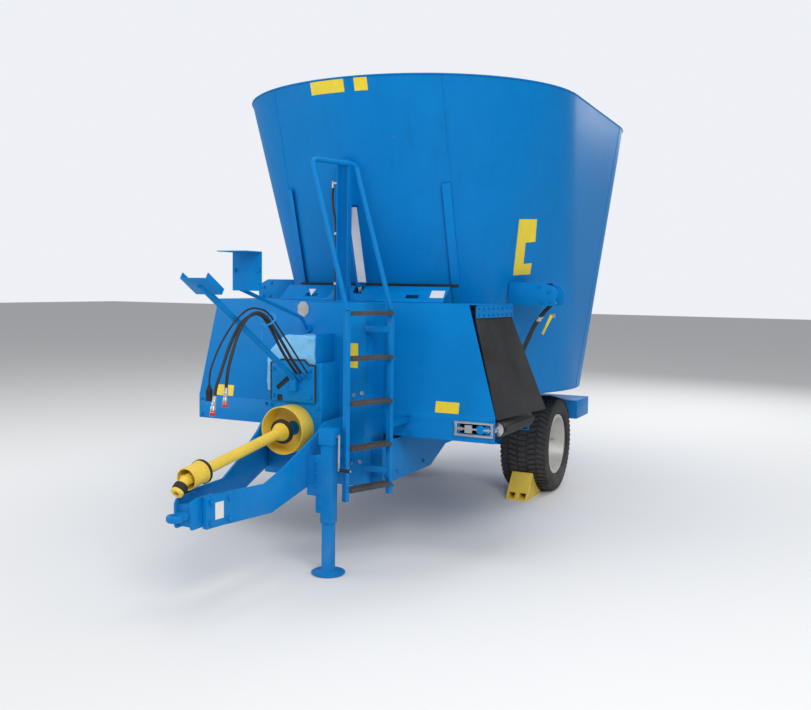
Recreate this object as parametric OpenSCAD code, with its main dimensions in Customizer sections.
// Trailed feed mixer wagon with one vertical screw and a front cross conveyor.
// Millimetres. The ground is z = 0 and +Z is up, the drawbar points to -Y,
// and +X is the wagon's left side, where the conveyor unloads.

/* [Tub] */
// Height of the rim above the ground
rim_z = 3450; // [3350:10:3550]
// Underside of the tub wall above the ground
floor_z = 1000; // [990:2:1010]
// Width of the tub at the rim
rim_w = 2852; // [2780:4:2920]
// Straight length of each side at the rim
side_len = 1536; // [1400:8:1700]
// Depth of each rounded end at the rim
end_depth = 1240; // [1200:5:1280]
// Middle of the tub behind the origin
tub_y = 970; // [950:5:990]
// Lean of the front wall and of the door
front_lean = 16.5; // [15.5:0.5:17.5]
// Radius of the round bottom about the screw
bottom_r = 1180; // [1160:2:1200]
// Thickness of the tub wall
wall_t = 8; // [6:1:10]
// Thickness of the tub floor
floor_t = 12; // [10:1:16]

/* [Door] */
// Width of the door plate
door_w = 1370; // [1340:2:1380]
// Thickness of the door plate
door_t = 8; // [6:1:10]
// Length of the door plate along its slide
door_len = 860; // [830:5:880]
// Travel of the door
door_travel = 600; // [500:10:640]
// Height of the top of that opening
mouth_top = 1720; // [1650:10:1740]
// Height of the top ends of the guides
guide_top = 2650; // [2600:10:2680]
// Clearance between sliding faces
slide_gap = 6; // [5.5:0.5:7]

/* [Screw] */
// Position of the screw and of the axle behind the origin
axle_y = 1330; // [1320:2:1340]
// Radius of the screw's core tube
core_r = 160; // [140:5:180]
// Height of the core above the floor
core_h = 1950; // [1850:10:2050]
// Radius of the flight at the floor
flight_r = 1050; // [1000:10:1060]
// Radius of the flight at the top
flight_top_r = 380; // [340:10:420]
// Thickness of the flight
flight_t = 16; // [12:1:18]
// Turns of the flight
flight_turns = 2.25; // [2:0.25:2.5]
// Number of knives on the flight's edge
knife_count = 8; // [6:1:9]

/* [Wheels] */
// Outer diameter of the tyre
tyre_d = 896; // [880:2:910]
// Width of the tyre
tyre_w = 440; // [420:5:450]
// Distance between the middles of the two tyres
track = 1630; // [1600:5:1650]
// Diameter of the rim flange
rim_d = 560; // [545:5:570]
// Width of the rim between its outer faces
wheel_rim_w = 396; // [380:4:400]
// Side of the square axle beam
axle_side = 100; // [90:5:110]
// Diameter of the stub axle
stub_d = 80; // [70:2:90]

/* [Frame] */
// Height of the underside of the long rails
rail_z = 630; // [620:5:640]
// Height of a rail
rail_h = 180; // [170:5:190]
// Width of a rail
rail_w = 80; // [70:5:90]
// Half distance between the outer faces of the rails
rail_x = 500; // [480:5:515]
// Half width of the rear cross box
rear_x = 1080; // [1050:5:1100]
// Front and rear faces of the rear cross box
rear_y0 = 1790; // [1785:5:1810]
// Depth of the rear cross box
rear_len = 440; // [420:10:460]

/* [Drawbar and jack] */
// Tip of the hitch eye in front of the origin
hitch_tip_y = -2978; // [-2998:2:-2958]
// Height of the middle of the hitch eye
hitch_z = 572; // [560:2:580]
// Bore of the hitch eye
hitch_bore_d = 50; // [45:1:52]
// Thickness of a drawbar plate
bar_t = 15; // [12:1:18]
// Half spread of the plates at the front
bar_x0 = 80; // [76:1:86]
// Half spread of the plates at the rear
bar_x1 = 290; // [284:1:296]
// Place of the jack
jack_x = 380; // [376:1:384]
jack_y = -1840; // [-1850:1:-1835]
// Side of the jack's outer tube
jack_side = 84; // [80:1:88]
// Travel of the jack's leg
jack_travel = 250; // [200:10:280]

/* [Power shaft] */
// Height of the drive input
input_z = 920; // [914:2:926]
// Sideways place of the shaft
pto_x = -25; // [-30:1:-20]
// Place of the rear joint's pivot
pto_y = -1745; // [-1750:1:-1740]
// Droop of the resting shaft below level
pto_droop = 8; // [7:0.5:9]
// Diameter of the front shield tube
shield_d = 72; // [68:1:76]
// Outer diameter of the master cup
cup_d = 332; // [320:4:340]

/* [Conveyor] */
// Front face of the conveyor
conv_y0 = -1105; // [-1110:1:-1100]
// Rear face of the conveyor
conv_y1 = -335; // [-340:1:-330]
// Half length of the conveyor frame
conv_x = 1270; // [1250:5:1280]
// Underside of the conveyor beams
conv_z = 835; // [830:1:840]
// Height of the conveyor beams
conv_h = 185; // [180:1:190]
// Thickness of a conveyor beam
beam_t = 50; // [40:2:60]
// Height of the roof over the conveyor
roof_z = 1790; // [1780:2:1800]
// Sheet thickness of the hood
sheet_t = 5; // [4:0.5:6]

/* [Ladder] */
// Front stile of the ladder
stile_a = [467, -1768];
// Rear stile of the ladder
stile_b = [605, -1400];
// Height of the top tread
top_tread_z = 1750; // [1740:5:1760]
// Rise from tread to tread
tread_rise = 300; // [290:5:305]
// Depth of a tread
tread_depth = 90; // [70:5:110]

/* [Hidden] */

blue = "#0072c4";
light_blue = "#3ba0e6";
yellow = "#ecc83c";
dark = "#26282a";
steel = "#b9bdc1";

// Clearance of pieces that only sit side by side
seat = 0.3;
// Radial clearance of a running fit
run_fit = 0.05;
// Overshoot of cutting tools
over = 1;

lean = tan(front_lean);
wheel_r = tyre_d / 2;
deck_z = floor_z - floor_t;
half_w = rim_w / 2;
front_mid = tub_y - side_len / 2;
rear_mid = tub_y + side_len / 2;
guide_w = 26;
// Outer edge of the door guides
seam_x = door_w / 2 + slide_gap + guide_w;
mouth_w = door_w - 170;
door_step = seam_x / 4;

// Outline of the tub
function end_drop(x) = end_depth * sqrt(1 - pow(x / half_w, 2));
function wall_y(x, z) = front_mid - end_drop(x) + lean * (rim_z - z);
seam_angle = asin(seam_x / half_w);
corner_angles = [for (k = [1:6]) seam_angle + (90 - seam_angle) * k / 6];
front_xs = [for (k = [-4:4]) k * door_step];
rim_front = concat(
    [for (k = [5:-1:0]) let (x = -half_w * sin(corner_angles[k])) [x, front_mid - end_drop(x)]],
    [for (x = front_xs) [x, front_mid - end_drop(x)]],
    [for (a = corner_angles) let (x = half_w * sin(a)) [x, front_mid - end_drop(x)]]);
rim_rear = [for (k = [0:18]) let (a = 90 - k * 10)
    [half_w * sin(a), rear_mid + end_depth * cos(a)]];

module rim_outline() { polygon(concat(rim_front, rim_rear)); }

module bottom_outline() {
    hull() {
        translate([0, axle_y]) circle(r = bottom_r, $fn = 48);
        polygon(concat([for (x = front_xs) [x, wall_y(x, floor_z)]], [[0, axle_y]]));
    }
}

// Solid of the tub's outside, moved outwards by grow
module tub_solid(grow = 0, extra = 0) {
    hull() {
        translate([0, 0, floor_z]) linear_extrude(1) offset(delta = grow) bottom_outline();
        translate([0, 0, rim_z - 1 + extra]) linear_extrude(1) offset(delta = grow) rim_outline();
    }
}

module tub_shell() {
    color(blue) difference() {
        tub_solid();
        hull() {
            translate([0, 0, floor_z - 1]) linear_extrude(1)
                offset(delta = -wall_t) bottom_outline();
            translate([0, 0, rim_z]) linear_extrude(1) offset(delta = -wall_t) rim_outline();
        }
        translate([-mouth_w / 2, wall_y(0, floor_z) - 400, floor_z + 60])
            cube([mouth_w, 700, mouth_top - floor_z - 60]);
    }
}

module tub_floor() {
    color(blue) difference() {
        translate([0, 0, deck_z]) linear_extrude(floor_t) bottom_outline();
        translate([0, axle_y, deck_z - over])
            cylinder(d = 120 + 2 * seat, h = floor_t + 2 * over, $fn = 48);
    }
}

// Places a child in the frame of the slanted front wall: +Z runs up the wall,
// +Y is square to it and the origin is on the wall's middle line at floor level
module on_front_wall() {
    translate([0, wall_y(0, floor_z), floor_z]) rotate([front_lean, 0, 0]) children();
}
function up_wall(z) = (z - floor_z) / cos(front_lean);
// Depth of the wall's curve at x, square to the slide
function wall_v(x) = (end_depth - end_drop(x)) * cos(front_lean);

// Strip that follows the wall's curve from x0 to x1, from face a to face b in front of it
module wall_strip(xs, a, b, len) {
    linear_extrude(len) polygon(concat(
        [for (x = xs) [x, wall_v(x) - b]],
        [for (k = [len(xs) - 1:-1:0]) [xs[k], wall_v(xs[k]) - a]]));
}

inner_xs = [for (k = [-3:3]) k * door_step];
door_xs = concat([-door_w / 2], inner_xs, [door_w / 2]);
// Inner edge of the guides' lips
lip_x = door_w / 2 - guide_w;
door_front = slide_gap + door_t;
door_base = up_wall(floor_z + 40);

module door_plate() {
    color(blue) on_front_wall() translate([0, 0, door_base]) {
        wall_strip(door_xs, slide_gap, door_front, door_len);
        // Lugs and pin for the rod's eye
        lug_v = wall_v(rod_x) - door_front;
        for (s = [-1, 1]) translate([rod_x + s * 25 - 5, lug_v - rod_v - 20, rod_base - door_base - 35])
            cube([10, rod_v + 20 + door_t - 2, 70]);
        translate([rod_x - 29, lug_v - rod_v, rod_base - door_base]) rotate([0, 90, 0])
            cylinder(d = 25, h = 58, $fn = 40);
    }
}

module door_guides() {
    color(blue) on_front_wall() for (s = [-1, 1]) mirror([s < 0 ? 1 : 0, 0, 0]) {
        xs = [door_w / 2 + slide_gap, seam_x];
        lip = [lip_x, seam_x];
        translate([0, 0, up_wall(floor_z + 10)]) {
            wall_strip(xs, seat, door_front + slide_gap, up_wall(guide_top) - up_wall(floor_z + 10));
            wall_strip(lip, door_front + slide_gap, door_front + slide_gap + 6,
                up_wall(guide_top) - up_wall(floor_z + 10));
        }
    }
}

// Sloping cover from the guides down to the roof over the conveyor
cover_top_z = 1915;
cover_face = door_front + 2 * slide_gap + 6 + seat;
cover_y = wall_y(0, cover_top_z) - cover_face / cos(front_lean);
cover_foot_y = conv_y0 + 330;
rod_slot = 84;
module cover_profile() {
    z0 = roof_z + sheet_t + seat;
    polygon([[cover_y, cover_top_z], [cover_y - 12, cover_top_z], [cover_foot_y, z0 + 8], [cover_foot_y, z0],
        [cover_foot_y + 80, z0], [cover_foot_y + 80, z0 + 8], [cover_foot_y + 12, z0 + 8], [cover_y, cover_top_z - 8]]);
}
module chute_cover() {
    color(blue) difference() {
        translate([-seam_x, 0, 0]) rotate([90, 0, 90]) linear_extrude(2 * seam_x) cover_profile();
        for (x = [-500, 390]) translate([x, cover_foot_y + 30, roof_z + 30]) cube([110, 60, 32]);
        // Slot for the rod
        translate([rod_x - rod_slot / 2, cover_y - 90, roof_z]) cube([rod_slot, 200, 200]);
    }
}

module door_seal() {
    seal_xs = concat([-seam_x, -lip_x], inner_xs, [lip_x, seam_x]);
    color(dark) difference() {
        on_front_wall() translate([0, 0, up_wall(cover_top_z) + 15])
            wall_strip(seal_xs, cover_face - slide_gap, cover_face - slide_gap + 10, 28);
        translate([rod_x - rod_slot / 2, cover_y - 200, cover_top_z - 50]) cube([rod_slot, 300, 200]);
    }
}

// Upright post with the door cylinder in it
mast_x0 = -100;
mast_w = 100;
mast_d = 60;
mast_y = -940;
mast_top = 2860;
mast_foot = roof_z + sheet_t + seat;
head_z = mast_top - 330;
gusset = 150;
module mast() {
    color(blue) {
        difference() {
            translate([mast_x0, mast_y, mast_foot]) cube([mast_w, mast_d, mast_top - mast_foot]);
            translate([mast_x0 + 6, mast_y - over, mast_foot + 10])
                cube([mast_w - 12, mast_d - 6 + over, mast_top - mast_foot - 20]);
        }
        // Head bracket back to the tub wall
        difference() {
            translate([mast_x0, mast_y + mast_d, head_z]) cube([mast_w, 260, mast_top - head_z]);
            translate([mast_x0 + 8, mast_y + mast_d, head_z - over]) cube([mast_w - 16, 300, mast_top - head_z - 7]);
            tub_solid(seat);
        }
        // Curved gussets beside the foot
        for (s = [-1, 1]) translate([mast_x0 + mast_w / 2, mast_y + 24, mast_foot]) mirror([s < 0 ? 1 : 0, 0, 0])
            rotate([90, 0, 0]) translate([mast_w / 2, 0]) linear_extrude(8) difference() {
                square([gusset, gusset]);
                translate([gusset, gusset]) circle(r = gusset - 14, $fn = 48);
                translate([14, gusset - over]) square([gusset, 40]);
            }
    }
}

rod_x = -50;
rod_v = 45;
barrel_top = up_wall(mast_top - 260);
barrel_len = door_travel + 100;
barrel_d = 60;
rod_d = 36;
eye_d = 50;
rod_base = barrel_top - barrel_len - door_travel - eye_d / 2 - 10;
module on_rod() {
    on_front_wall() translate([rod_x, wall_v(rod_x) - door_front - rod_v, 0]) children();
}
module door_barrel() {
    color(blue) on_rod() {
        difference() {
            translate([0, 0, barrel_top - barrel_len]) cylinder(d = barrel_d, h = barrel_len, $fn = 40);
            translate([0, 0, barrel_top - barrel_len - over])
                cylinder(d = rod_d + 2 * run_fit, h = barrel_len - 20, $fn = 40);
        }
        // Pin in the head bracket of the mast
        translate([-mast_w / 2 + 8, 0, barrel_top - 10]) rotate([0, 90, 0])
            cylinder(d = 24, h = mast_w - 16, $fn = 32);
    }
}

module door_rod() {
    rod_top = barrel_top - 30 - door_travel;
    color(steel) on_rod() {
        difference() {
            union() {
                translate([0, 0, rod_base]) cylinder(d = rod_d, h = rod_top - rod_base, $fn = 40);
                translate([-12, 0, rod_base]) rotate([0, 90, 0]) cylinder(d = eye_d, h = 24, $fn = 40);
            }
            translate([-30, 0, rod_base]) rotate([0, 90, 0]) cylinder(d = 25 + 2 * run_fit, h = 60, $fn = 40);
        }
    }
}

// Conveyor
conv_top = conv_z + conv_h;
module conveyor_frame() {
    color(blue) {
        for (y = [conv_y0, conv_y1 - beam_t]) difference() {
            translate([-conv_x, y, conv_z]) cube([2 * conv_x, beam_t, conv_h]);
            translate([-conv_x - over, y + (y == conv_y0 ? 6 : -over), conv_z + 6])
                cube([2 * conv_x + 2 * over, beam_t - 6 + over, conv_h - 12]);
            // Slot for the tensioner
            for (x = [conv_x - 300])
                translate([x + 40, y - over, conv_z + 60]) cube([190, beam_t + 2 * over, 66]);
        }
        // Cross ties under the chain
        for (x = [-900, -300, 300, 900])
            translate([x - 20, conv_y0 + 6, conv_z]) cube([40, conv_y1 - conv_y0 - 12, 6]);
    }
}

belt_r = 62;
belt_z = conv_z + 94;
belt_x0 = -conv_x + 112;
belt_x1 = conv_x - 12;
belt_y0 = conv_y0 + beam_t + 8;
belt_w = conv_y1 - conv_y0 - 2 * beam_t - 16;
module loop_outline(r) {
    for (x = [belt_x0, belt_x1]) translate([x, 0]) circle(r = r, $fn = 48);
    translate([belt_x0, -r]) square([belt_x1 - belt_x0, 2 * r]);
}
module conveyor_chain() {
    pitch = 210;
    color(dark) translate([0, belt_y0 + belt_w, belt_z]) rotate([90, 0, 0]) {
        linear_extrude(belt_w) difference() {
            loop_outline(belt_r);
            loop_outline(belt_r - 8);
        }
        for (x = [belt_x0 + 60:pitch:belt_x1 - 60]) for (s = [-1, 1])
            translate([x - 15, s > 0 ? belt_r - 4 : -belt_r - 12, 10]) cube([30, 16, belt_w - 20]);
    }
}
module conveyor_rollers() {
    color(steel) for (x = [belt_x0, belt_x1])
        translate([x, conv_y1 - 6 - seat, belt_z]) rotate([90, 0, 0]) {
            translate([0, 0, beam_t + 2]) cylinder(r = belt_r - 8 - seat, h = belt_w - 4, $fn = 48);
            cylinder(d = 40, h = conv_y1 - conv_y0 - 12 - 2 * seat, $fn = 32);
        }
}
module takeup_frame() {
    color(steel) difference() {
        translate([conv_x - 300, conv_y0 - 14, conv_z + 40]) cube([290, 14 - seat, 106]);
        translate([conv_x - 278, conv_y0 - 15, conv_z + 56]) cube([250, 20, 74]);
    }
}

hood_z0 = conv_top + seat;
hood_top_y = conv_y0 + 160;
hood_back_y = conv_y1 - 10;
flap_t = 8;
flap_top = [1040, 1101];
flap_low = [conv_x + 10, conv_x + 120];
flap_bend_z = 1690;
flap_z0 = 1004;
module conveyor_hood() {
    color(blue) difference() {
        union() {
            difference() {
                union() {
                    // Sloping front panel
                    translate([-conv_x, 0, 0]) rotate([90, 0, 90]) linear_extrude(2 * conv_x)
                        polygon([[conv_y0 + 2, hood_z0], [hood_top_y, roof_z], [hood_top_y + sheet_t, roof_z],
                            [conv_y0 + 2 + sheet_t, hood_z0]]);
                    translate([-conv_x + sheet_t, hood_back_y, hood_z0])
                        cube([2 * conv_x - 2 * sheet_t, sheet_t, roof_z - hood_z0]);
                }
                hood_end_cut(-1, 1200);
                hood_end_cut(1, flap_top[0] - flap_t - 35);
            }
            // Roof back to the tub wall
            translate([0, 0, roof_z]) linear_extrude(sheet_t) polygon([[-1200, hood_top_y],
                [flap_top[0] + 18, hood_top_y], [flap_top[1] + 18, conv_y1], [-1200, conv_y1]]);
            // Right end plate
            hull() {
                translate([-conv_x, conv_y0 + 7, hood_z0]) cube([sheet_t, hood_back_y - conv_y0 - 2, 1]);
                translate([-1200, hood_top_y + 5, roof_z - 1]) cube([sheet_t, hood_back_y - hood_top_y, 1]);
            }
        }
        tub_solid(seat);
        translate([-seam_x - 20, cover_foot_y + 70, hood_z0 - over]) cube([2 * seam_x + 40, 900, 900]);
    }
}
// Slanting end of the hood on side s, whose top corner is at x_top
module hood_end_cut(s, x_top) {
    run = (conv_x - x_top) / (roof_z - conv_top);
    z1 = roof_z + 20;
    translate([0, conv_y0 - 50, 0]) rotate([-90, 0, 0]) linear_extrude(1700)
        polygon([[s * (conv_x + run), -(conv_top - 1)], [s * (conv_x + 400), -(conv_top - 1)],
            [s * (conv_x + 400), -z1], [s * (x_top - 20 * run), -z1]]);
}

module flap() {
    color(dark) {
        hull() for (k = [0, 1]) {
            y = k == 0 ? [hood_top_y + 10, conv_y0] : [conv_y1 - 1, conv_y1 - 1];
            translate([flap_top[k], y[0], flap_bend_z]) cube([flap_t, 1, 1]);
            translate([flap_low[k], y[1], flap_z0]) cube([flap_t, 1, 1]);
        }
        hull() for (k = [0, 1])
            translate([flap_top[k], k == 0 ? hood_top_y + 10 : conv_y1 - 1, flap_bend_z]) cube([flap_t, 1, 90]);
    }
}
module flap_clamp() {
    color(blue) hull() for (k = [0, 1])
        translate([flap_top[k] + flap_t + seat, k == 0 ? hood_top_y + 10 : conv_y1 - 1, flap_bend_z + 6])
            cube([8, 1, roof_z - flap_bend_z - 6 - seat]);
}

// Ladder
ladder_turn = atan2(stile_b[1] - stile_a[1], stile_b[0] - stile_a[0]);
ladder_w = norm(stile_b - stile_a);
stile_d = 40;
ladder_foot = 480;
rail_lean = 20.6;
module in_ladder() { translate([stile_a[0], stile_a[1], 0]) rotate([0, 0, ladder_turn]) children(); }
module ladder() {
    color(blue) {
        in_ladder() {
            for (x = [0, ladder_w])
                translate([x - 15, -stile_d / 2, ladder_foot]) cube([30, stile_d, top_tread_z - ladder_foot]);
            // Handrail that leans back over the steps
            translate([0, 0, top_tread_z]) rotate([-rail_lean, 0, 0]) {
                for (x = [0, ladder_w]) cylinder_up(x, 1050);
                translate([40, 0, 1090]) rotate([0, 90, 0]) cylinder(d = 34, h = ladder_w - 80, $fn = 24);
                for (x = [0, 1]) translate([40 + x * (ladder_w - 80), 0, 1050])
                    rotate([90, 0, 0]) rotate([0, 0, x * -90 + 90])
                        rotate_extrude(angle = 90, $fn = 24) translate([40, 0]) circle(d = 34, $fn = 20);
            }
        }
        // Arms across to the tower and back to the conveyor
        for (z = [620, 1600])
            translate([tower_x1 + seat, stile_b[1] - 15, z]) cube([stile_b[0] - tower_x1 - 10, 30, 40]);
        translate([stile_b[0] - 15, stile_b[1] + 10, 940]) cube([30, conv_y0 - stile_b[1] - 10 - seat, 40]);
    }
}
module cylinder_up(x, h) { translate([x, 0, 0]) cylinder(d = 34, h = h, $fn = 24); }
module ladder_treads() {
    color(dark) in_ladder() for (k = [0:4])
        translate([15 + seat, -tread_depth / 2, top_tread_z - 30 - k * tread_rise - (k == 4 ? -20 : 0)])
            cube([ladder_w - 30 - 2 * seat, tread_depth, 26]);
}

// Drive
house_y = -1640;
tower_y = -1400;
tower_x0 = -190;
tower_x1 = 410;
house_x0 = -235;
house_x1 = 200;
house_top = 1380;
module drive_housing() {
    color(blue) {
        translate([house_x0, house_y, 620]) cube([house_x1 - house_x0, tower_y - house_y - seat, house_top - 620]);
        translate([pto_x, house_y + over, input_z]) rotate([90, 0, 0])
            cylinder(d = 44, h = house_y + over - pto_y - pivot_r - seat, $fn = 40);
    }
}
module drive_dome() {
    x0 = house_x0 + 12;
    x1 = house_x1 - 58;
    color(light_blue) translate([0, tower_y - 2, house_top + seat]) rotate([90, 0, 0])
        linear_extrude(tower_y - house_y - 10) polygon([[x0, 0], [x1, 0], [x1, 172], [x1 - 20, 186],
            [x0 + 150, 186], [x0 + 60, 150], [x0 + 10, 90], [x0, 60]]);
}
// Gland on the guard that a hose starts from
module gland(path, d) {
    run = route(path, hose_steps)[1] - path[0];
    translate(path[0]) rotate([atan2(-run[1], run[2]), 0, 0]) translate([0, 0, -70])
        cylinder(d = d, h = 70 - seat, $fn = 32);
}
guard_y = house_y - 18;
module front_guard() {
    color(blue) {
        translate([0, guard_y + 8, 0]) rotate([90, 0, 0]) linear_extrude(8) difference() {
            polygon([[-202, 1105], [-202, 1372], [-110, 1396], [72, 1400], [106, 1366], [158, 1366], [158, 1105]]);
            // Slanting slot and upright slot
            translate([-140, 1180]) rotate(40) square([120, 34]);
            translate([-150, 1085]) square([44, 66]);
        }
        // Distance pieces to the housing
        for (x = [-180, 120], z = [1140, 1330]) translate([x, guard_y + 7, z]) rotate([-90, 0, 0])
            cylinder(d = 24, h = house_y - seat - guard_y - 7, $fn = 24);
        intersection() {
            union() {
                for (p = [hose_a_path, hose_b_path]) gland(p, hose_d + 10);
                gland(cable_path, cable_d + 8);
            }
            translate([-300, guard_y - 200, 900]) cube([600, 204, 700]);
        }
    }
}
module drive_tower() {
    color(blue) translate([tower_x0, tower_y, 500]) cube([tower_x1 - tower_x0, conv_y0 - tower_y - seat, roof_z - 500]);
}
cup_len = 150;
module pto_cup() {
    color(yellow) translate([pto_x, house_y - seat, input_z]) rotate([90, 0, 0]) difference() {
        cylinder(d = cup_d, h = cup_len, $fn = 64);
        translate([0, 0, 6]) cylinder(d = cup_d - 14, h = cup_len, $fn = 64);
        translate([0, 0, -over]) cylinder(d = 100, h = 10, $fn = 48);
    }
}
module gearbox() {
    color(blue) {
        // Gearbox under the floor with its output shaft
        translate([0, axle_y, 660]) cylinder(d = 420, h = deck_z - 660 - seat, $fn = 64);
        translate([0, axle_y, 900]) cylinder(d = 120, h = 200, $fn = 48);
        // Driveline tunnel from the front
        translate([0, conv_y0, 758]) rotate([-90, 0, 0]) cylinder(d = 100, h = axle_y - conv_y0 - 180, $fn = 48);
    }
}

// Drawbar
bar_y0 = hitch_tip_y + 198;
bar_y1 = tower_y + 100 - seat;
bar_len = bar_y1 - bar_y0;
bar_turn = atan2(bar_x1 - bar_x0, bar_len);
bar_run = bar_len / cos(bar_turn) - 2;
// Outer face of the left plate at y
function bar_face(y) = bar_x0 + (y - bar_y0) * tan(bar_turn) + bar_t / cos(bar_turn);
module bar_outline() {
    polygon([[0, 488], [240, 477], [580, 467], [910, 565], [1140, 625], [bar_run, 640], [bar_run, 830],
        [1380, 1010], [1110, 985], [1010, 905], [690, 735], [520, 665], [0, 680]]);
}
cheek_x = bar_x0 - 16;
module drawbar() {
    color(blue) {
        for (s = [-1, 1]) mirror([s < 0 ? 1 : 0, 0, 0]) {
            difference() {
                translate([bar_x0, bar_y0, 0]) rotate([0, 0, -bar_turn])
                    rotate([90, 0, 90]) linear_extrude(bar_t) bar_outline();
                if (s > 0) translate([0, tower_y - seat, 0]) cube([600, 600, 1200]);
            }
            // Doubler outside and cheek inside the head
            translate([bar_x0, bar_y0, 0]) rotate([0, 0, -bar_turn]) translate([bar_t - over, 6, 484])
                cube([11, 220, 188]);
            translate([cheek_x - 15, 0, 0]) rotate([90, 0, 90]) linear_extrude(15)
                polygon([[bar_y0 - 80, 510], [bar_y0 - 70, 492], [bar_y0 + 120, 492], [bar_y0 + 120, 672],
                    [bar_y0 - 30, 672], [bar_y0 - 66, 662], [bar_y0 - 80, 640]]);
            translate([cheek_x - over, bar_y0 + 4, 500]) cube([bar_x0 - cheek_x + 6, 112, 150]);
        }
        translate([-bar_x0 - 54, bar_y0 + 320, 480]) cube([2 * bar_x0 + 108, 40, 90]);
    }
}
module hitch_eye() {
    grip = cheek_x - 15 - seat;
    eye_y = hitch_tip_y + 50;
    color(blue) difference() {
        union() {
            translate([0, eye_y, hitch_z - 20]) rotate_extrude($fn = 48)
                polygon([[hitch_bore_d / 2 - over, 0], [42, 0], [50, 10], [50, 30], [42, 40],
                    [hitch_bore_d / 2 - over, 40]]);
            translate([0, 0, hitch_z - 18]) linear_extrude(36)
                polygon([[-24, eye_y + 34], [24, eye_y + 34], [grip, bar_y0 - 60], [-grip, bar_y0 - 60]]);
            translate([-grip, bar_y0 - 62, 505]) cube([2 * grip, 150, 130]);
        }
        translate([0, eye_y, hitch_z - 21]) cylinder(d = hitch_bore_d, h = 42, $fn = 48);
    }
}

// Jack
leg_side = jack_side - 16;
jack_top = 870;
head_w = jack_side + 22;
module jack_tube() {
    inner = leg_side + 0.2;
    color(blue) translate([jack_x, jack_y, 0]) {
        difference() {
            union() {
                translate([-jack_side / 2, -jack_side / 2, 345]) cube([jack_side, jack_side, jack_top - 340]);
                translate([-head_w / 2, -head_w / 2, jack_top]) cube([head_w, head_w, 108]);
            }
            translate([-inner / 2, -inner / 2, 344]) cube([inner, inner, 550]);
        }
        // Bolted flange and the bracket from the drawbar plate
        translate([-jack_side / 2 - 36, -jack_side / 2, 410]) cube([37, 12, 390]);
        translate([bar_face(jack_y - 18) - jack_x + seat, -30, 520])
            cube([jack_x - bar_face(jack_y - 18) - jack_side / 2 - seat + over, 12, 270]);
    }
}
module jack_leg() {
    color(blue) translate([jack_x, jack_y, 0]) {
        translate([-leg_side / 2, -leg_side / 2, 12]) cube([leg_side, leg_side, 600]);
        rotate_extrude($fn = 48) polygon([[0, 0], [104, 0], [115, 12], [112, 16], [86, 12], [60, 24], [0, 24]]);
    }
}
module jack_crank() {
    color(steel) translate([jack_x + head_w / 2 + seat, jack_y, jack_top + 54]) {
        rotate([0, 90, 0]) cylinder(d = 22, h = 28, $fn = 24);
        translate([20, 0, -225]) cylinder(d = 16, h = 240, $fn = 24);
        translate([14, 0, -220]) rotate([0, 90, 0]) cylinder(d = 16, h = 96, $fn = 24);
    }
}

// Frame
saddle_y = [-160, 560, 1880];
module chassis() {
    rail_y0 = conv_y0;
    side_y0 = tower_y + 100;
    color(blue) {
        for (s = [-1, 1]) {
            translate([s > 0 ? rail_x - rail_w : -rail_x, rail_y0, rail_z])
                cube([rail_w, rear_y0 - rail_y0 - seat, rail_h]);
            // Side plate of the front frame
            translate([s > 0 ? rail_x - 12 : -rail_x, 0, 0]) rotate([90, 0, 90]) linear_extrude(12)
                polygon([[side_y0, 500], [side_y0 + 850, 500], [side_y0 + 1150, rail_z + over],
                    [rail_y0 + over, rail_z + over], [rail_y0 + over, rail_z + rail_h], [side_y0, rail_z + rail_h]]);
        }
        // Cross plates beside the drive tower
        translate([-rail_x, side_y0, 500]) cube([rail_x + tower_x0 - seat, 12, rail_z + rail_h - 500]);
        translate([tower_x1 + seat, side_y0, 500]) cube([rail_x - tower_x1 - seat, 12, rail_z + rail_h - 500]);
        for (y = [rail_y0, 200, 900])
            translate([-rail_x + rail_w, y, rail_z]) cube([2 * (rail_x - rail_w), 100, rail_h - 110]);
        for (y = [-160, 560])
            translate([-560, y, rail_z + rail_h]) cube([1120, 90, deck_z - rail_z - rail_h - seat]);
    }
}
module rear_beam() {
    color(blue) {
        translate([-rear_x, rear_y0, rail_z]) cube([2 * rear_x, rear_len, rail_h]);
        translate([-560, rear_y0 + 100, rail_z + rail_h]) cube([1120, 90, deck_z - rail_z - rail_h - seat]);
    }
}
hub_in = track / 2 - 140;
module axle() {
    color(blue) {
        translate([-hub_in, axle_y - axle_side / 2, wheel_r - axle_side / 2]) cube([2 * hub_in, axle_side, axle_side]);
        for (s = [-1, 1]) {
            translate([s * (hub_in - over), axle_y, wheel_r]) rotate([0, s * 90, 0])
                cylinder(d = stub_d, h = 200, $fn = 48);
            translate([s > 0 ? rail_x - rail_w : -rail_x, axle_y - 90, wheel_r + axle_side / 2])
                cube([rail_w, 180, rail_z - wheel_r - axle_side / 2 - seat]);
        }
    }
}

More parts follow.
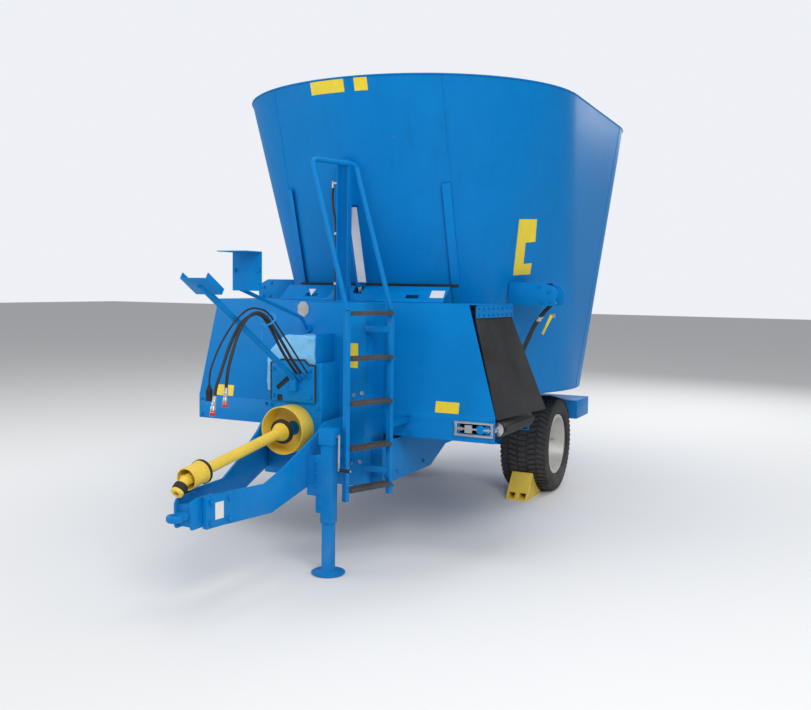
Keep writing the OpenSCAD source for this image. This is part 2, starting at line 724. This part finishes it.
// Wheels
bead_r = rim_d / 2 - 18;
module tyre(s) {
    r = wheel_r;
    b = bead_r + seat;
    f = wheel_rim_w / 2 - 20 - seat;
    h = tyre_w / 2;
    side = [[b, f - 34], [b, f], [rim_d / 2 + 2, f], [rim_d / 2 + 8, h - 26], [rim_d / 2 + 50, h - 3],
        [r - 66, h], [r - 24, h - 22], [r - 4, h - 62]];
    n = len(side);
    color(dark) translate([s * track / 2, axle_y, wheel_r]) rotate([0, 90, 0]) rotate_extrude($fn = 96)
        polygon(concat([[b + 34, -f + 60], [b + 34, f - 60]], side, [[r, 60], [r, -60]],
            [for (k = [n - 1:-1:0]) [side[k][0], -side[k][1]]]));
}
module rim(s) {
    b = bead_r;
    h = wheel_rim_w / 2;
    f = rim_d / 2;
    color(steel) translate([s * track / 2, axle_y, wheel_r]) rotate([0, s * 90, 0]) difference() {
        union() {
            rotate_extrude($fn = 96) polygon([[b - 8, -h], [f, -h], [f, -h + 20], [b, -h + 20], [b, h - 20],
                [f, h - 20], [f, h], [b - 8, h], [b - 8, 40], [190, 70], [110, 60], [110, 44], [190, 54],
                [b - 8, 24]]);
            translate([0, 0, -134]) cylinder(d = 150, h = 214, $fn = 48);
            translate([0, 0, 44]) cylinder(d = 222, h = 16, $fn = 48);
        }
        translate([0, 0, -141]) cylinder(d = stub_d + 2 * run_fit, h = 202, $fn = 48);
    }
}

// Screw
core_z = floor_z + 20;
flight_z = core_z + 20;
flight_rise = core_h - 120;
function flight_edge(u) = flight_r + (flight_top_r - flight_r) * u;
module auger_core() {
    color(light_blue) translate([0, axle_y, core_z]) difference() {
        union() {
            cylinder(r = core_r, h = core_h - 60, $fn = 64);
            translate([0, 0, core_h - 60]) cylinder(r1 = core_r, r2 = 60, h = 60, $fn = 64);
        }
        translate([0, 0, -over]) cylinder(d = 120 + 2 * run_fit, h = 1100 - core_z + over + 10, $fn = 48);
    }
}
flight_steps = 72;
knife_root = 190;
// Helical plate over the steps k0 to k1 of the flight. Each entry of radii lists the radii of
// one step from the inside out, so that plates that share radii lie parallel
module helix_plate(k0, radii, z0, t) {
    n = len(radii) - 1;
    m = len(radii[0]) - 1;
    row = 2 * (m + 1);
    pts = [for (k = [0:n]) let (a = -360 * flight_turns * (k0 + k) / flight_steps,
            z = z0 + flight_rise * (k0 + k) / flight_steps)
        each [for (up = [0, 1], j = [0:m]) [radii[k][j] * cos(a), radii[k][j] * sin(a), z + up * t]]];
    function at(k, up, j) = k * row + up * (m + 1) + j;
    skin = [for (k = [0:n - 1], j = [0:m - 1]) each [
        [at(k, 1, j), at(k, 1, j + 1), at(k + 1, 1, j)], [at(k, 1, j + 1), at(k + 1, 1, j + 1), at(k + 1, 1, j)],
        [at(k, 0, j), at(k + 1, 0, j), at(k, 0, j + 1)], [at(k, 0, j + 1), at(k + 1, 0, j), at(k + 1, 0, j + 1)]]];
    edges = [for (k = [0:n - 1]) each [
        [at(k, 0, 0), at(k, 1, 0), at(k + 1, 0, 0)], [at(k, 1, 0), at(k + 1, 1, 0), at(k + 1, 0, 0)],
        [at(k, 0, m), at(k + 1, 0, m), at(k, 1, m)], [at(k, 1, m), at(k + 1, 0, m), at(k + 1, 1, m)]]];
    ends = [for (j = [0:m - 1]) each [
        [at(0, 0, j), at(0, 0, j + 1), at(0, 1, j)], [at(0, 1, j), at(0, 0, j + 1), at(0, 1, j + 1)],
        [at(n, 0, j), at(n, 1, j), at(n, 0, j + 1)], [at(n, 1, j), at(n, 1, j + 1), at(n, 0, j + 1)]]];
    translate([0, axle_y, 0]) polyhedron(pts, concat(skin, edges, ends));
}
module auger_flight() {
    inner = (core_r + seat) / cos(180 * flight_turns / flight_steps);
    color(light_blue) helix_plate(0, [for (k = [0:flight_steps]) let (r = flight_edge(k / flight_steps))
        [inner, max(r - knife_root, inner + 10), r]], flight_z, flight_t);
}
knife_reach = [10, 80, 50];
module auger_knives() {
    gap = floor((flight_steps - 10) / (knife_count - 1));
    color(steel) for (i = [0:knife_count - 1]) let (k0 = 2 + i * gap)
        helix_plate(k0, [for (k = [0:2]) let (r = flight_edge((k0 + k) / flight_steps))
            [r - knife_root, r, r + knife_reach[k]]], flight_z + flight_t + seat, 12);
}

// Rear half of the power shaft, drawn along its own axis with the pivot at the origin
module on_shaft() { translate([pto_x, pto_y, input_z]) rotate([90 + pto_droop, 0, 0]) children(); }
pivot_r = 28.7;
module pto_rear() {
    color(yellow) on_shaft() {
        sphere(r = pivot_r, $fn = 40);
        rotate([0, 90, 0]) cylinder(d = 20, h = 76, center = true, $fn = 32);
        translate([0, 0, 12]) cylinder(d = 84, h = 22, $fn = 40);
        translate([0, 0, 30]) cylinder(d = 172, h = 22, $fn = 48);
        translate([0, 0, 51]) cylinder(d1 = 128, d2 = 84, h = 60, $fn = 48);
        translate([0, 0, 60]) cylinder(d = shield_d - 10, h = 700, $fn = 40);
    }
}
yoke_z = 1062;
yoke_bend = 30;
module pto_front() {
    color(yellow) on_shaft() difference() {
        union() {
            translate([0, 0, 120]) cylinder(d = shield_d, h = 810, $fn = 40);
            // Bell, open to the front
            translate([0, 0, 905]) rotate_extrude($fn = 48)
                polygon([[0, 0], [76, 0], [76, 22], [66, 26], [68, yoke_z - 905], [63, yoke_z - 905], [60, 34],
                    [0, 34]]);
            translate([0, 0, 930]) cylinder(d = 56, h = yoke_z - 930, $fn = 40);
            // Yoke that hangs on its cross joint
            translate([0, 0, yoke_z]) rotate([yoke_bend, 0, 0]) {
                translate([0, 0, -10]) cylinder(d = 64, h = 120, $fn = 40);
                translate([0, 0, 46]) cylinder(d = 84, h = 44, $fn = 40);
            }
        }
        translate([0, 0, 119]) cylinder(d = shield_d - 10 + 2 * run_fit, h = 790, $fn = 40);
        translate([0, 0, yoke_z]) rotate([yoke_bend, 0, 0]) translate([0, 0, 30]) cylinder(d = 35, h = 90, $fn = 32);
    }
}

// Brackets over the drawbar
module bar_between(a, b, d) {
    v = b - a;
    translate(a) rotate([0, acos(v[2] / norm(v)), atan2(v[1], v[0])]) cylinder(d = d, h = norm(v), $fn = 24);
}
plate_z = 1875;
plate_y = -2230;
tube_x = -62;
tube_path = [[tube_x, plate_y + 20, plate_z + 10], [tube_x, -1500, 1690], [tube_x, -1462, 1660],
    [tube_x, -1410, 1604]];
module plate_bracket() {
    color(blue) {
        translate([-110, plate_y, plate_z]) cube([220, 6, 240]);
        translate([-110, plate_y - 160, plate_z + 240]) cube([220, 166, 6]);
        translate([tube_x - 14, plate_y + 5, plate_z + 4]) cube([28, 22, 60]);
        for (k = [0:2]) bar_between(tube_path[k], tube_path[k + 1], 26);
        for (k = [1, 2]) translate(tube_path[k]) sphere(d = 26, $fn = 24);
        translate([tube_x, tower_y - seat, tube_path[3][2]]) rotate([90, 0, 0]) cylinder(d = 60, h = 16, $fn = 32);
    }
}
arm_y = -1684;
arm_z = 1278;
arm_rise = 32;
arm_len = 1150;
module hose_arm() {
    color(blue) {
        // Bolted foot on the guard
        translate([-24, arm_y - 12, arm_z - 92]) cube([48, guard_y - seat - arm_y + 12, 112]);
        translate([0, arm_y, arm_z]) rotate([90 - arm_rise, 0, 0]) {
            cylinder(d = 42, h = arm_len + 40, $fn = 32);
            translate([-95, -4, arm_len - 60]) cube([190, 6, 175]);
            for (x = [-95, 89]) translate([x, 1, arm_len - 60]) cube([6, 36, 175]);
        }
    }
}
ring_at = [57, -2075, 1690];
module hose_ring() {
    color(light_blue) {
        translate(ring_at) rotate([45, 0, 0]) rotate_extrude($fn = 32) translate([48, 0]) circle(d = 10, $fn = 16);
        // Stalk that stands on the arm
        arm_top = arm_z + (arm_y - ring_at[1]) * tan(arm_rise) + 21 / cos(arm_rise);
        translate([6, ring_at[1], arm_top + 3]) cylinder(d = 10, h = ring_at[2] - arm_top - 3, $fn = 24);
    }
}

// Restrictor brackets on both sides of the tub
stop_x = 1000;
stop_z = 1780;
stop_top = 175;
module stop_plate() {
    rotate([90, 0, 0]) linear_extrude(8)
        polygon([[0, 0], [380, 0], [392, 100], [370, 140], [290, stop_top + 5], [0, stop_top + 5]]);
}
module hay_stops() {
    color(blue) for (s = [-1, 1]) mirror([s < 0 ? 1 : 0, 0, 0]) {
        difference() {
            union() {
                for (y = [-95, 140]) translate([stop_x, y, stop_z]) stop_plate();
                translate([stop_x, -96, stop_z + stop_top]) cube([290, 236, 6]);
            }
            tub_solid(seat);
        }
        // Cylinder that moves the stop, held between the plates
        translate([stop_x + 300, 132 + over, stop_z + 90]) rotate([90, 0, 0]) cylinder(d = 56, h = 229, $fn = 32);
    }
}
module hay_stop_hoses() {
    color(dark) translate([1240, 10, 1500]) cylinder(d = 20, h = stop_z + stop_top - 1500 - seat, $fn = 24);
}

module chock() {
    color(yellow) difference() {
        translate([715, 745, 0]) rotate([90, 0, 90]) linear_extrude(200)
            polygon([[0, 0], [430, 0], [430, 60], [200, 225], [180, 225]]);
        translate([700, axle_y, wheel_r]) rotate([0, 90, 0]) cylinder(r = wheel_r + 6, h = 240, $fn = 96);
        for (x = [735, 835]) translate([x, 700, 14]) cube([60, 330, 46]);
    }
}

// Hoses, each swept along its own points
hose_a_path = [[42, -1712, 1310], [42, -1819, 1403], [43, -1906, 1490], [45, -2073, 1674], [50, -2181, 1728],
    [55, -2274, 1718], [61, -2387, 1666], [67, -2497, 1549], [73, -2593, 1393], [75, -2640, 1310], [75, -2655, 1256]];
hose_b_path = [[68, -1700, 1315], [68, -1785, 1389], [69, -1886, 1490], [70, -2053, 1655], [74, -2149, 1722],
    [79, -2255, 1737], [85, -2359, 1696], [91, -2449, 1608], [98, -2539, 1450], [100, -2568, 1365], [100, -2578, 1300]];
cable_path = [[118, -1690, 1312], [112, -1765, 1388], [92, -1880, 1520], [62, -2061, 1716], [52, -2174, 1762],
    [44, -2282, 1757], [38, -2406, 1688], [20, -2520, 1560], [0, -2586, 1425], [-5, -2600, 1365], [-5, -2604, 1311]];
hose_d = 20;
cable_d = 12;

// Point of a smooth curve through the points p at parameter t of piece k
function spline(p, k, t) = let (n = len(p) - 1, a = p[max(k - 1, 0)], b = p[k], c = p[k + 1], d = p[min(k + 2, n)])
    0.5 * (2 * b + (c - a) * t + (2 * a - 5 * b + 4 * c - d) * t * t + (3 * b - a - 3 * c + d) * t * t * t);
function route(p, per) = concat([for (k = [0:len(p) - 2], j = [0:per - 1]) spline(p, k, j / per)], [p[len(p) - 1]]);
function unit(v) = v / norm(v);
hose_steps = 2;
module hose(path, d, sides = 8) {
    q = route(path, hose_steps);
    n = len(q) - 1;
    pts = [for (k = [0:n]) let (t = unit(q[min(k + 1, n)] - q[max(k - 1, 0)]), u = [1, 0, 0],
            v = unit(cross(t, u)), w = cross(v, t))
        each [for (j = [0:sides - 1]) q[k] + d / 2 * (cos(360 * j / sides) * w + sin(360 * j / sides) * v)]];
    faces = concat([[for (j = [0:sides - 1]) j]], [[for (j = [sides - 1:-1:0]) n * sides + j]],
        [for (k = [0:n - 1], j = [0:sides - 1]) let (a = k * sides + j, b = k * sides + (j + 1) % sides)
            each [[a, a + sides, b], [b, a + sides, b + sides]]]);
    color(dark) polyhedron(pts, faces);
}
// Places a child at the end of a hose, with +Z along the hose
module at_end(path) {
    q = route(path, hose_steps);
    n = len(q) - 1;
    run = unit(q[n] - q[n - 1]);
    translate(q[n] + seat * run) rotate([atan2(-run[1], run[2]), 0, 0]) children();
}
module coupling(path, d) {
    color(steel) at_end(path) {
        cylinder(d = d, h = 60, $fn = 24);
        translate([0, 0, 60]) cylinder(d = d * 1.4, h = 60, $fn = 24);
    }
}
module cable_plug() {
    color(dark) at_end(cable_path) {
        cylinder(d = 24, h = 20, $fn = 24);
        translate([0, 0, 20]) cylinder(d = 42, h = 75, $fn = 24);
    }
}

tub_shell();
tub_floor();
door_guides();
door_seal();
chute_cover();
mast();
door_barrel();
conveyor_frame();
conveyor_hood();
conveyor_chain();
conveyor_rollers();
takeup_frame();
flap();
flap_clamp();
ladder();
ladder_treads();
drive_housing();
drive_dome();
front_guard();
drive_tower();
pto_cup();
drawbar();
hitch_eye();
jack_tube();
jack_crank();
chassis();
rear_beam();
axle();
gearbox();
hay_stops();
hay_stop_hoses();
plate_bracket();
hose_arm();
hose_ring();
chock();
hose(hose_a_path, hose_d);  // hose_a
hose(hose_b_path, hose_d);  // hose_b
hose(cable_path, cable_d);  // cable
coupling(hose_a_path, 24);  // coupling_a
coupling(hose_b_path, 24);  // coupling_b
cable_plug();
tyre(1);  // tyre_left
tyre(-1);  // tyre_right
rim(1);  // rim_left
rim(-1);  // rim_right
auger_core();
auger_flight();
auger_knives();
door_plate();
door_rod();
pto_rear();
pto_front();
jack_leg();
